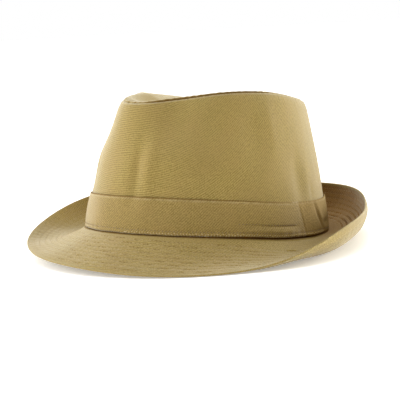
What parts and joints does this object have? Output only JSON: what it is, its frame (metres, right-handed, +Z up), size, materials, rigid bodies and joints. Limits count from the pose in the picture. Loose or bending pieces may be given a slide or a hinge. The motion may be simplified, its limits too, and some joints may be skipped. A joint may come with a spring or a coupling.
{
  "type": "cotton twill trilby hat",
  "caption": "Cloth trilby with a dented, pinched crown, a matching cloth band and a stitched brim turned down in front and up behind.",
  "frame": {"origin": "middle of the outline seen from above, at the height of the surface the hat rests on", "axes": "+Z up, the front of the hat towards -Y, the wearer's left towards +X"},
  "size_m": [0.2574, 0.2602, 0.1156],
  "materials": {
    "brim_cloth": "khaki cotton twill, two plies topstitched together in rows",
    "crown_cloth": "khaki cotton twill, stiffened",
    "tip_cloth": "khaki cotton twill, stiffened",
    "band_cloth": "khaki cotton twill"
  },
  "bodies": {
    "root": {"brim": "brim_cloth", "crown_side": "crown_cloth", "crown_tip": "tip_cloth", "band": "band_cloth"}
  },
  "joints": []
}
